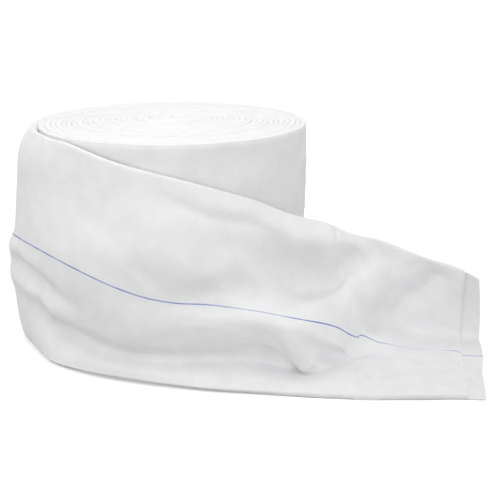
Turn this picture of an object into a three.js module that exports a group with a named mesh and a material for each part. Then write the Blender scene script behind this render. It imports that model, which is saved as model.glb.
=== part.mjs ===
// A combine dressing roll: a padded web wound on itself and standing on one end, with the outer turn
// pulled free round the left side and laid out to the right.
// Millimetres, +Z up. The origin is on the roll's axis, at the surface it stands on.
// "run" is the distance along the middle line of the loose end from the place where it leaves the roll,
// and "across" is the distance over its width, from the lower edge up.

import * as THREE from 'three';

// Driving dimensions of the web and the roll
const WEB_WIDTH = 200;
const HALF_WIDTH = WEB_WIDTH / 2;
const ROLL_RADIUS = 126;
const TURN_PITCH = 5;
const CLOTH_THICKNESS = 4.7;
const CLOTH_GAP = 0.3;
const LEAVING_ANGLE = 150;
const CREASE_HEIGHT = 46;

// Shape of the wound roll's ends
const ROLL_STEPS = 120;
const CORE_RADIUS = 90;
const END_CORNER = 5;
const END_DISH = 0.8;

// Loose end: the unpadded strip at its tip, its round edges, how finely it is divided, and the least
// height of its upper face where it lies on the floor, as a share of its thickness
const STRIP_LENGTH = 19;
const STRIP_THICKNESS = 1.1;
const PAD_END_ROUND = 5;
const EDGE_ROUND = 1.6;
const RUN_STEPS = 76;
const ACROSS_STEPS = 30;
const EDGE_STEP = 3;
const LEAST_SHARE = 0.9;

// Rounding of the apron below the long crease: how far it stands out, and where, as a share of its height
const APRON_CROWN = 1.5;
const APRON_CROWN_AT = 0.2;

const COLOURS = { roll: 0xf1f0ec, cloth: 0xeeeeec };

const radians = (degrees) => THREE.MathUtils.degToRad(degrees);
const clamp = THREE.MathUtils.clamp;
const smoothstep = (x) => THREE.MathUtils.smoothstep(x, 0, 1);

// Outer radius of the wound roll. It starts one turn inside the full radius where the loose end leaves,
// and grows to the full radius by the time the winding comes round to that place again.
function rollRadius(angle) {
  const turned = (((angle - LEAVING_ANGLE) % 360) + 360) % 360;
  return ROLL_RADIUS - TURN_PITCH + (TURN_PITCH * turned) / 360;
}

// One section of the loose end still lying on the roll, at an angle round its axis
function sectionOnRoll({ angle, head, line, foot }) {
  const at = (radius, z) => [radius * Math.cos(radians(angle)), radius * Math.sin(radians(angle)), z];
  return {
    foot: at(foot, 0),
    lower: [at((foot + line) / 2, CREASE_HEIGHT)],
    line: at(line, HALF_WIDTH),
    upper: [],
    head: at(head, WEB_WIDTH - EDGE_ROUND),
  };
}

// Radii of the lower edge, middle line and upper edge where the loose end leaves the roll
const LEAVING_SECTIONS = [
  { angle: LEAVING_ANGLE + 0.14, foot: 126, line: 126, head: 126 },
  { angle: 159, foot: 127, line: 127.5, head: 126.8 },
  { angle: 168, foot: 130.5, line: 132, head: 128.6 },
];

// Sections of the free cloth in their order along it, each as points on its outer face: foot is the
// lower edge, lower the points from the long crease above it up to the middle line, line the middle line,
// upper the points above it and head the upper edge.
const FREE_SECTIONS = [
  {
    foot: [-136, 2, 0], lower: [[-140, 2, 46], [-140, 2, 74]], line: [-139.5, 2, 101.5],
    upper: [[-138, 2, 150], [-133, 2, 189]], head: [-130, 2, 198.5],
  },
  {
    foot: [-139, -31, 0], lower: [[-147.5, -30, 44], [-146, -29.5, 73]], line: [-145, -29, 102],
    upper: [[-140, -29, 151], [-133, -29, 189]], head: [-128.5, -28, 198.5],
  },
  {
    foot: [-128, -58, 0], lower: [[-130, -62, 45], [-131, -62, 74]], line: [-132, -62, 103.5],
    upper: [[-127, -61, 151], [-124, -60, 188]], head: [-117, -57, 198],
  },
  {
    foot: [-117, -82, 0], lower: [[-111, -82, 41], [-113.5, -86.5, 73]], line: [-116, -91, 105],
    upper: [[-111, -88, 151.5], [-107.5, -86, 187]], head: [-101, -81, 197],
  },
  {
    foot: [-98, -109, 1], lower: [[-96, -94, 34], [-94.5, -108, 50.5], [-93, -115, 67.5]],
    line: [-90, -120, 101],
    upper: [[-87.5, -118, 122], [-85, -110, 150], [-83, -106.5, 177]], head: [-80, -103, 195],
  },
  {
    foot: [-68, -129, 3], lower: [[-68, -111, 28], [-67, -127, 43.5], [-66, -133, 62.5]],
    line: [-64, -137, 93.5],
    upper: [[-62, -136, 114], [-60, -128, 143], [-58, -123, 171]], head: [-56, -119, 188.5],
  },
  {
    foot: [-42, -141, 4], lower: [[-43, -127, 19], [-42, -142, 34.5], [-41, -145.5, 55]],
    line: [-39.5, -145, 84.5],
    upper: [[-38, -145, 106], [-36, -138, 136], [-34.5, -132, 164]], head: [-33, -127, 182],
  },
  {
    foot: [-13, -152, 4],
    lower: [[-17, -134, 20], [-16.5, -149, 33], [-15.5, -151.5, 49.5], [-15, -149.5, 63]],
    line: [-14, -147, 76],
    upper: [[-12.5, -148, 91], [-11, -149, 111], [-10, -142, 140], [-8.5, -137, 162]],
    head: [-7, -131, 176],
  },
  {
    foot: [14, -160, 4], lower: [[8, -138, 20.5], [8.5, -152.5, 34], [9, -155, 49], [9.5, -152, 62.5]],
    line: [11, -147, 71.5],
    upper: [[12.5, -148, 83], [14, -151.5, 99], [15, -146, 130], [16.5, -140, 153]], head: [18, -130, 170],
  },
  {
    foot: [40, -166, 4],
    lower: [[35, -140, 20.5], [35.5, -154.5, 35], [35.5, -156.5, 49], [36, -155, 61.5]],
    line: [37, -145, 69.5],
    upper: [[38, -143, 80], [39.5, -149, 95], [40.5, -142, 126], [42, -136, 147]], head: [43, -124, 162],
  },
  {
    foot: [76, -171, 4], lower: [[74, -137, 17], [73.5, -152, 33], [73.5, -155.5, 46.5], [73, -155, 59]],
    line: [72, -147, 65.5],
    upper: [[72.5, -135, 72], [72.5, -131, 79.5], [73, -135, 93], [73.5, -126, 118], [73.5, -121, 134]],
    head: [74, -110, 150],
  },
  {
    foot: [117, -176, 4],
    lower: [[118, -140, 10.5], [117, -149, 27.5], [116, -151, 41.5], [115, -149, 51.5]],
    line: [111.5, -143, 57],
    upper: [[111, -121, 63.5], [110, -101, 70], [109, -93, 80], [108.5, -99, 97], [108, -104, 117]],
    head: [107, -91, 133],
  },
  {
    foot: [145, -179, 4], lower: [[149, -115, 11.5], [146, -126, 28.5]], line: [143, -122, 42.5],
    upper: [[142.5, -100, 57], [142, -83, 68], [141.5, -74, 79], [141, -80, 94], [140.5, -82, 105]],
    head: [140, -70, 118],
  },
  {
    foot: [170, -181, 4], lower: [[175, -99, 7], [173.5, -95, 13.5]], line: [172, -91, 19.5],
    upper: [[171, -86, 43], [170.5, -81, 67.5], [169.5, -68, 78], [168.5, -59, 88], [168, -60, 98]],
    head: [167, -54, 104.5],
  },
  {
    foot: [192, -181, 4.4], lower: [[192, -117, 5]], line: [193, -82, 11.7],
    upper: [[192.5, -69, 23.5], [192, -73, 51.5], [191, -66, 76], [190.5, -50, 88]], head: [190, -48, 98.5],
  },
  {
    foot: [215, -181, 4.6], lower: [[216, -119, 4.7]], line: [217, -81, 6.5],
    upper: [[219, -52, 12.5], [220, -51, 42], [221, -56, 67]], head: [222.5, -55, 83],
  },
  {
    foot: [238, -180, 4.7], lower: [[243, -119, 4.7]], line: [246, -81, 5.2],
    upper: [[252, -49, 10], [252.5, -52, 38]], head: [254, -56, 71.5],
  },
  {
    foot: [264, -182, 4.7], lower: [[272, -121, 4.7]], line: [279, -87, 4.8],
    upper: [[286, -46, 5], [284, -49, 30]], head: [279, -58, 61.5],
  },
];

// Folds and creases, each along a path of [run, across] points. height is how far the cloth stands out
// there, or lies back below zero. left and right are its half widths on the two sides of the path,
// fadeIn and fadeOut the shares of the path over which it grows and dies away.
const FOLDS = [
  {
    name: 'side ridge', path: [[55, 91], [110, 90], [165, 84], [215, 80]],
    height: 4, left: 9, right: 9, fadeIn: 0.4, fadeOut: 0.4,
  },
  {
    name: 'side crease', path: [[108, 83], [130, 77], [150, 71], [175, 67], [205, 69], [250, 64]],
    height: -5, left: 9, right: 9, fadeIn: 0.2, fadeOut: 0.5,
  },
  {
    name: 'side swell', path: [[85, 64], [130, 60], [170, 55], [210, 52], [240, 48]],
    height: 4, left: 9, right: 9, fadeIn: 0.3, fadeOut: 0.4,
  },
  {
    name: 'foot crease',
    path: [[165, 44], [211, 38], [229, 29], [252, 22], [273, 18], [307, 23], [341, 25], [393, 35]],
    height: -3, left: 9, right: 8, fadeIn: 0.2, fadeOut: 0.2,
  },
  {
    name: 'under the belly',
    path: [[255, 128], [283, 123], [294, 115], [309, 109], [335, 108], [359, 113], [400, 130]],
    height: -1.5, left: 12, right: 6, fadeIn: 0.25, fadeOut: 0.3,
  },
  {
    name: 'under the band', path: [[276, 186], [317, 182], [343, 176], [380, 179], [432, 181], [452, 178]],
    height: -2.5, left: 6, right: 10, fadeIn: 0.3, fadeOut: 0.3,
  },
  {
    name: 'pocket',
    path: [[405, 168], [429, 162], [455, 158], [478, 158], [497, 168], [507, 178], [520, 196]],
    height: -6, left: 14, right: 8, fadeIn: 0.35, fadeOut: 0.02,
  },
  {
    name: 'ridge',
    path: [[395, 106], [426, 119], [450, 123], [468, 134], [486, 145], [504, 158], [541, 182]],
    height: 4, left: 8, right: 14, fadeIn: 0.3, fadeOut: 0.25,
  },
  {
    name: 'tongue', path: [[404, 96], [412, 72], [421, 42]],
    height: 5, left: 9, right: 8, fadeIn: 0.4, fadeOut: 0.05,
  },
  {
    name: 'left of the tongue', path: [[360, 46], [390, 55], [411, 42]],
    height: -5, left: 10, right: 7, fadeIn: 0.4, fadeOut: 0.2,
  },
  {
    name: 'right of the tongue', path: [[430, 56], [465, 68], [494, 81], [510, 92]],
    height: -5, left: 11, right: 7, fadeIn: 0.2, fadeOut: 0.1,
  },
  {
    name: 'slanting crease', path: [[586, 196], [572, 172], [562, 160], [551, 142], [538, 125], [514, 104]],
    height: -5, left: 7, right: 12, fadeIn: 0.1, fadeOut: 0.1,
  },
];

// Tangents for a smooth curve through values at uneven knots
function tangents(knots, points) {
  const slope = (i) => points[i + 1].clone().sub(points[i]).divideScalar(knots[i + 1] - knots[i]);
  const last = points.length - 1;
  return points.map((_, i) => {
    if (i === 0) return slope(0);
    if (i === last) return slope(last - 1);
    const before = knots[i] - knots[i - 1];
    const after = knots[i + 1] - knots[i];
    const weighted = slope(i).multiplyScalar(before).addScaledVector(slope(i - 1), after);
    return weighted.divideScalar(before + after);
  });
}

// A smooth curve through points at uneven knots, as a function of the knot value
function smoothCurve(knots, points) {
  const slopes = tangents(knots, points);
  return (x) => {
    let i = knots.findIndex((knot) => knot > x) - 1;
    if (i < 0) i = x < knots[0] ? 0 : knots.length - 2;
    const span = knots[i + 1] - knots[i];
    const t = clamp((x - knots[i]) / span, 0, 1);
    return new THREE.Vector3()
      .addScaledVector(points[i], 2 * t ** 3 - 3 * t ** 2 + 1)
      .addScaledVector(slopes[i], (t ** 3 - 2 * t ** 2 + t) * span)
      .addScaledVector(points[i + 1], -2 * t ** 3 + 3 * t ** 2)
      .addScaledVector(slopes[i + 1], (t ** 3 - t ** 2) * span);
  };
}

// Places of points along their own chain, as shares of its length
function shares(points) {
  const travelled = [0];
  for (let i = 1; i < points.length; i += 1) {
    travelled.push(travelled[i - 1] + points[i].distanceTo(points[i - 1]));
  }
  return travelled.map((length) => length / travelled[points.length - 1]);
}

// Direction of travel along a list of points, at each point
function directions(points) {
  const last = points.length - 1;
  return points.map((_, i) => {
    const ahead = points[Math.min(i + 1, last)];
    return ahead.clone().sub(points[Math.max(i - 1, 0)]).normalize();
  });
}

const vector = ([x, y, z]) => new THREE.Vector3(x, y, z);
const outward = (along, from, to) => along.clone().cross(to.clone().sub(from)).normalize();

// All sections as smooth curves over the width, with the run at which each one stands
function sectionCurves() {
  const rows = [...LEAVING_SECTIONS.map(sectionOnRoll), ...FREE_SECTIONS];
  const feet = rows.map((row) => vector(row.foot));
  const creases = rows.map((row) => vector(row.lower[0]));
  const lines = rows.map((row) => vector(row.line));
  const alongFoot = directions(feet);
  const runs = [0];
  for (let i = 1; i < lines.length; i += 1) {
    runs.push(runs[i - 1] + lines[i].distanceTo(lines[i - 1]));
  }
  const curves = rows.map((row, i) => {
    const apron = outward(alongFoot[i], feet[i], creases[i]);
    const crown = feet[i].clone().lerp(creases[i], APRON_CROWN_AT).addScaledVector(apron, APRON_CROWN);
    const lower = [feet[i], crown, ...row.lower.map(vector), lines[i]];
    const upper = [lines[i], ...row.upper.map(vector), vector(row.head)];
    const lowerKnots = shares(lower).map((share) => share * HALF_WIDTH);
    const upperKnots = shares(upper).map((share) => HALF_WIDTH + share * HALF_WIDTH);
    return smoothCurve([...lowerKnots, ...upperKnots.slice(1)], [...lower, ...upper.slice(1)]);
  });
  return { runs, curves };
}

// How far a fold stands out at a place on the cloth
function foldHeight(fold, run, across) {
  const pieces = fold.path.slice(1).map((end, i) => ({ start: fold.path[i], end }));
  const lengths = pieces.map(({ start, end }) => Math.hypot(end[0] - start[0], end[1] - start[1]));
  const total = lengths.reduce((sum, length) => sum + length, 0);
  let passed = 0;
  let nearest = { distance: Infinity, width: fold.left, share: 0 };
  pieces.forEach(({ start, end }, i) => {
    const alongRun = (end[0] - start[0]) / lengths[i];
    const alongAcross = (end[1] - start[1]) / lengths[i];
    const fromRun = run - start[0];
    const fromAcross = across - start[1];
    const travelled = clamp(fromRun * alongRun + fromAcross * alongAcross, 0, lengths[i]);
    const distance = Math.hypot(fromRun - travelled * alongRun, fromAcross - travelled * alongAcross);
    if (distance < nearest.distance) {
      const isLeft = alongRun * fromAcross - alongAcross * fromRun > 0;
      nearest = { distance, width: isLeft ? fold.left : fold.right, share: (passed + travelled) / total };
    }
    passed += lengths[i];
  });
  const grown = smoothstep(nearest.share / fold.fadeIn) * smoothstep((1 - nearest.share) / fold.fadeOut);
  return fold.height * grown * Math.exp(-((nearest.distance / nearest.width) ** 2));
}

// Even steps over the width, with one more close to each edge
function acrossStations() {
  const step = WEB_WIDTH / ACROSS_STEPS;
  const inner = Array.from({ length: ACROSS_STEPS - 1 }, (_, i) => (i + 1) * step);
  return [0, EDGE_STEP, ...inner, WEB_WIDTH - EDGE_STEP, WEB_WIDTH];
}

// Even steps along the run, with the pad's round end stepped more finely before the flat strip
function runStations(length) {
  const padEnd = length - STRIP_LENGTH;
  const step = (padEnd - PAD_END_ROUND) / (RUN_STEPS - 1);
  const even = Array.from({ length: RUN_STEPS }, (_, i) => i * step);
  return [...even, padEnd - PAD_END_ROUND / 2, padEnd, padEnd + STRIP_LENGTH / 2, length];
}

// Keeps a point of the outer face clear of the roll by the cloth's own thickness
function clearOfRoll(point) {
  const angle = THREE.MathUtils.radToDeg(Math.atan2(point.y, point.x));
  const radius = Math.hypot(point.x, point.y);
  const least = rollRadius(angle) + CLOTH_THICKNESS + CLOTH_GAP;
  if (radius < least) {
    point.x *= least / radius;
    point.y *= least / radius;
  }
  return point;
}

// Thickness of the cloth: full over the padding, thin past it, with a round step between the two
function thicknessAt(run, length) {
  const past = (run - (length - STRIP_LENGTH - PAD_END_ROUND)) / PAD_END_ROUND;
  const round = Math.sqrt(1 - clamp(past, 0, 1) ** 2);
  return STRIP_THICKNESS + (CLOTH_THICKNESS - STRIP_THICKNESS) * round;
}

// The base surface of the loose end on a grid, then its outer and inner faces with the folds in them
function clothFaces() {
  const { runs, curves } = sectionCurves();
  const length = runs[runs.length - 1];
  const runAt = runStations(length);
  const acrossAt = acrossStations();
  const lanes = acrossAt.map((across) => smoothCurve(runs, curves.map((curve) => curve(across))));
  const base = runAt.map((run) => lanes.map((lane) => lane(run)));
  const above = (point, least) => point.setZ(Math.max(point.z, least));
  return base.map((column, i) => column.map((point, j) => {
    const alongRun = base[Math.min(i + 1, base.length - 1)][j].clone().sub(base[Math.max(i - 1, 0)][j]);
    const upwards = column[Math.min(j + 1, column.length - 1)].clone().sub(column[Math.max(j - 1, 0)]);
    const normal = alongRun.cross(upwards).normalize();
    const stand = FOLDS.reduce((sum, fold) => sum + foldHeight(fold, runAt[i], acrossAt[j]), 0);
    const top = clearOfRoll(point.clone().addScaledVector(normal, stand));
    const thickness = thicknessAt(runAt[i], length);
    const outer = top.clone().addScaledVector(normal, thickness - CLOTH_THICKNESS);
    const inner = top.clone().addScaledVector(normal, -CLOTH_THICKNESS);
    return { outer: above(outer, thickness * LEAST_SHARE), inner: above(inner, 0) };
  }));
}

// Adds the two triangles of a four-sided face, leaving out any that has closed up
function addQuad(indices, a, b, c, d) {
  [[a, b, c], [a, c, d]].forEach(([p, q, r]) => {
    if (p !== q && q !== r && r !== p) indices.push(p, q, r);
  });
}

// A closed solid from vertices and triangle indices, flat shaded
function solid(points, indices) {
  const geometry = new THREE.BufferGeometry();
  const numbers = points.flatMap((point) => point.toArray());
  geometry.setAttribute('position', new THREE.Float32BufferAttribute(numbers, 3));
  geometry.setIndex(indices);
  geometry.computeVertexNormals();
  return geometry;
}

// The loose end: each column goes up the outer face, over the upper edge and down the inner face, and
// the columns are joined into a closed band with its two ends capped
function looseEndGeometry() {
  const faces = clothFaces();
  const loops = faces.map((column) => {
    const first = column[0];
    const last = column[column.length - 1];
    const rim = (face, next) => {
      const away = face.outer.clone().sub(next.outer).normalize();
      const middle = face.outer.clone().lerp(face.inner, 0.5).addScaledVector(away, EDGE_ROUND);
      return middle.setZ(Math.max(middle.z, 0));
    };
    const outer = column.map((face) => face.outer);
    const inner = column.map((face) => face.inner).reverse();
    return [...outer, rim(last, column[column.length - 2]), ...inner, rim(first, column[1])];
  });
  const around = loops[0].length;
  const points = loops.flat();
  const indices = [];
  for (let i = 0; i < loops.length - 1; i += 1) {
    for (let j = 0; j < around; j += 1) {
      const next = (j + 1) % around;
      addQuad(indices, i * around + j, (i + 1) * around + j, (i + 1) * around + next, i * around + next);
    }
  }
  const lanes = faces[0].length;
  const cap = (column, flipped) => {
    const at = (j) => column * around + ((j + around) % around);
    const outerRim = lanes;
    const innerRim = around - 1;
    const triangle = (a, b, c) => (flipped ? indices.push(a, c, b) : indices.push(a, b, c));
    for (let j = 0; j < lanes - 1; j += 1) {
      const inside = around - 2 - j;
      triangle(at(j), at(j + 1), at(inside));
      triangle(at(j + 1), at(inside - 1), at(inside));
    }
    triangle(at(lanes - 1), at(outerRim), at(lanes + 1));
    triangle(at(0), at(around - 2), at(innerRim));
  };
  cap(0, false);
  cap(loops.length - 1, true);
  return solid(points, indices);
}

// Outline of the roll in a plane through its axis: how far inside the wall each corner lies, and its height
const ROLL_OUTLINE = [
  { inset: END_CORNER, z: 0 },
  { inset: 1.6, z: 1.8 },
  { inset: 0, z: END_CORNER },
  { inset: 0.4, z: 60 },
  { inset: 0, z: 130 },
  { inset: 0, z: WEB_WIDTH - END_CORNER },
  { inset: 1.6, z: WEB_WIDTH - 1.8 },
  { inset: END_CORNER, z: WEB_WIDTH },
];

// The wound roll: its wall is one turn of a spiral, closed by the step where the loose end leaves
function woundRollGeometry() {
  const points = [];
  const indices = [];
  const columns = ROLL_STEPS + 1;
  const rows = ROLL_OUTLINE.length;
  const ring = (angle, radius, z) => vector([radius * Math.cos(angle), radius * Math.sin(angle), z]);
  for (let i = 0; i < columns; i += 1) {
    const turned = (i * 360) / ROLL_STEPS;
    const angle = radians(LEAVING_ANGLE + turned);
    const radius = ROLL_RADIUS - TURN_PITCH + (TURN_PITCH * turned) / 360;
    ROLL_OUTLINE.forEach(({ inset, z }) => points.push(ring(angle, radius - inset, z)));
  }
  const wall = (i, j) => i * rows + j;
  const baseRing = points.length;
  const topRing = baseRing + ROLL_STEPS;
  for (const z of [0, WEB_WIDTH]) {
    for (let i = 0; i < ROLL_STEPS; i += 1) {
      points.push(ring(radians(LEAVING_ANGLE + (i * 360) / ROLL_STEPS), CORE_RADIUS, z));
    }
  }
  const baseCentre = points.push(new THREE.Vector3(0, 0, 0)) - 1;
  const topCentre = points.push(new THREE.Vector3(0, 0, WEB_WIDTH - END_DISH)) - 1;
  for (let i = 0; i < ROLL_STEPS; i += 1) {
    const base = baseRing + i;
    const nextBase = baseRing + ((i + 1) % ROLL_STEPS);
    const top = topRing + i;
    const nextTop = topRing + ((i + 1) % ROLL_STEPS);
    for (let j = 0; j < rows - 1; j += 1) {
      addQuad(indices, wall(i, j), wall(i + 1, j), wall(i + 1, j + 1), wall(i, j + 1));
    }
    addQuad(indices, wall(i, rows - 1), wall(i + 1, rows - 1), nextTop, top);
    addQuad(indices, base, nextBase, wall(i + 1, 0), wall(i, 0));
    indices.push(top, nextTop, topCentre, nextBase, base, baseCentre);
  }
  for (let j = 0; j < rows - 1; j += 1) {
    addQuad(indices, wall(ROLL_STEPS, j), wall(0, j), wall(0, j + 1), wall(ROLL_STEPS, j + 1));
  }
  addQuad(indices, baseRing, wall(0, 0), wall(ROLL_STEPS, 0), baseRing);
  addQuad(indices, topRing, wall(ROLL_STEPS, rows - 1), wall(0, rows - 1), topRing);
  return solid(points, indices);
}

function mesh(name, geometry, colour) {
  const material = new THREE.MeshStandardMaterial({ color: colour, roughness: 0.95, metalness: 0 });
  const piece = new THREE.Mesh(geometry, material);
  piece.name = name;
  return piece;
}

const dressingRoll = new THREE.Group();
dressingRoll.add(mesh('wound_roll', woundRollGeometry(), COLOURS.roll));
dressingRoll.add(mesh('loose_end', looseEndGeometry(), COLOURS.cloth));

export default dressingRoll;
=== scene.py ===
"""Looks of a combine dressing roll: a padded white web wound on end, with its outer turn pulled free.

The tables are in millimetres, and points are turned to metres where a mesh is placed. "Run" is the
distance along the middle line of the loose end from the place where it leaves the roll, "across" is the
distance over the width of the web from its lower edge up, and "girth" is the distance round a section.
"""

from __future__ import annotations

import logging
import math
from dataclasses import dataclass
from enum import Enum
from functools import partial

import bpy
import numpy as np
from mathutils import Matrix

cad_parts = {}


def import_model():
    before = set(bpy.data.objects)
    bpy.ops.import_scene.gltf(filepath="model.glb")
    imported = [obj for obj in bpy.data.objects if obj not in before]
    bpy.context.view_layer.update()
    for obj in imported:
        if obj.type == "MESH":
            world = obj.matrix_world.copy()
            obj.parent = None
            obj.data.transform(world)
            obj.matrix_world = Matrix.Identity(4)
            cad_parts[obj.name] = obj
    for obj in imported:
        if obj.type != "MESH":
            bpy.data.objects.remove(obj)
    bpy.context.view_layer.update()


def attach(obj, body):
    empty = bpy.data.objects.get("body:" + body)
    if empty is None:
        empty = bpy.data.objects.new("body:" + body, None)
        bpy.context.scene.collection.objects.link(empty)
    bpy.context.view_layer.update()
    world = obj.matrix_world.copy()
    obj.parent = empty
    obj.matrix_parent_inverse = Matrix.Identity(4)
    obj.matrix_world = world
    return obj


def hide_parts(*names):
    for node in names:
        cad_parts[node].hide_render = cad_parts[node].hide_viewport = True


LOG = logging.getLogger("dressing_roll")
MM = 0.001
BODY = "root"

# How round a crease's bottom is, how fast its sides fall away, and how fast a step rises beside its path
CREASE_ROUND = 0.02
CREASE_FALL = 1.4
STEP_RISE = 4

Array = np.ndarray
Node = bpy.types.Node
Tree = bpy.types.NodeTree
Point = tuple[float, float, float]
Colour = tuple[float, float, float, float]
Socket = str | int
Wire = tuple[Node, Socket, Node, Socket]

WHITE: Colour = (1.0, 1.0, 1.0, 1.0)


class FoldShape(Enum):
    """How a fold falls away from its path."""

    SOFT = "a round swell or trough"
    CREASE = "a sharp line with soft sides"
    STEP = "a drop from one side of the path to the other"


@dataclass(frozen=True)
class Web:
    """Sizes of the padded web that the whole object is made of, in millimetres.

    Points less than leaving_slack degrees short of the leaving place count as past it. crease_height and
    rim_round place the points of the sections that lie on the roll.
    """

    width: float = 200.0
    thickness: float = 4.7
    turn_pitch: float = 5.0
    roll_radius: float = 126.0
    leaving_angle: float = 150.0
    leaving_slack: float = 0.5
    gap: float = 0.3
    strip_length: float = 19.0
    strip_thickness: float = 1.1
    pad_end_round: float = 5.0
    edge_round: float = 1.9
    rim_round: float = 1.6
    crease_height: float = 46.0

    @property
    def middle(self) -> float:
        """Place of the middle line over the width."""
        return self.width / 2

    def roll_radius_at(self, angle: Array) -> Array:
        """Outer radius of the turn that lies bare at an angle round the roll.

        Args:
            angle: Angles in degrees, anticlockwise from above.

        Returns:
            The radius in millimetres at each angle.
        """
        turned = np.mod(angle - self.leaving_angle + self.leaving_slack, 360.0)
        return self.roll_radius - self.turn_pitch + self.turn_pitch * turned / 360.0

    def thickness_at(self, run: Array, length: float) -> Array:
        """Thickness along the loose end: full over the padding, thin in the strip past it.

        Args:
            run: Places along the loose end.
            length: Its whole length.

        Returns:
            The thickness at each place.
        """
        start = length - self.strip_length - self.pad_end_round
        past = np.clip((run - start) / self.pad_end_round, 0, 1)
        padding = (self.thickness - self.strip_thickness) * np.sqrt(1 - past**2)
        return self.strip_thickness + padding


@dataclass(frozen=True)
class Section:
    """One section of the loose end, as points on its outer face from its lower edge up.

    foot is the lower edge, line the middle line and head the upper edge. lower and upper are the points
    between them. The cloth isn't stretched, so a point's place over the width follows from its distance.
    """

    foot: Point
    lower: tuple[Point, ...]
    line: Point
    upper: tuple[Point, ...]
    head: Point


@dataclass(frozen=True)
class Fold:
    """One fold or crease along a path of places on the cloth.

    height is how far the cloth stands out there, or lies back below zero. left and right are its half
    widths on the two sides of the path, fade_in and fade_out the shares of the path over which it grows
    and dies away.
    """

    name: str
    path: tuple[tuple[float, float], ...]
    height: float
    left: float
    right: float
    fade_in: float = 0.3
    fade_out: float = 0.3
    shape: FoldShape = FoldShape.SOFT

    def stand(self, run: Array, across: Array) -> Array:
        """How far this fold stands out at places on the cloth.

        Args:
            run: Places along the cloth, on a grid.
            across: Places over its width, on the same grid.

        Returns:
            The height of the fold at each place.
        """
        ends = np.array(self.path)
        lengths = np.hypot(*np.diff(ends, axis=0).T)
        nearest = np.full(run.shape, np.inf)
        side = np.zeros(run.shape)
        share = np.zeros(run.shape)
        passed = 0.0
        for start, end, length in zip(ends[:-1], ends[1:], lengths):
            along = (end - start) / length
            from_run = run - start[0]
            from_across = across - start[1]
            travelled = np.clip(from_run * along[0] + from_across * along[1], 0, length)
            distance = np.hypot(from_run - travelled * along[0], from_across - travelled * along[1])
            closer = distance < nearest
            nearest = np.where(closer, distance, nearest)
            side = np.where(closer, along[0] * from_across - along[1] * from_run, side)
            share = np.where(closer, (passed + travelled) / lengths.sum(), share)
            passed += length
        width = np.where(side > 0, self.left, self.right)
        grown = ease(share / self.fade_in) * ease((1 - share) / self.fade_out)
        return self.height * grown * self.profile(nearest / width, side)

    def profile(self, reach: Array, side: Array) -> Array:
        """The fold's cross-section.

        Args:
            reach: Distance from the path as a share of the half width.
            side: Above zero on the left of the path.

        Returns:
            A share of the fold's height, at most 1.
        """
        if self.shape is FoldShape.SOFT:
            return np.exp(-(reach**2))
        if self.shape is FoldShape.CREASE:
            return np.exp(-np.sqrt(reach**2 + CREASE_ROUND) * CREASE_FALL)
        return np.where(side > 0, 1.0, -1.0) * np.exp(-reach) * np.tanh(reach * STEP_RISE)


def on_roll(angle: float, foot: float, line: float, head: float, web: Web = Web()) -> Section:
    """A section of the loose end that still lies on the roll.

    Args:
        angle: Its angle round the roll in degrees.
        foot: Radius of the lower edge.
        line: Radius of the middle line.
        head: Radius of the upper edge.
        web: Sizes of the web.

    Returns:
        The section, standing upright.
    """
    turn = math.radians(angle)

    def at(radius: float, height: float) -> Point:
        """A point at a radius and height on this section."""
        return (radius * math.cos(turn), radius * math.sin(turn), height)

    crease = at((foot + line) / 2, web.crease_height)
    return Section(at(foot, 0), (crease,), at(line, web.middle), (), at(head, web.width - web.rim_round))


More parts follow.
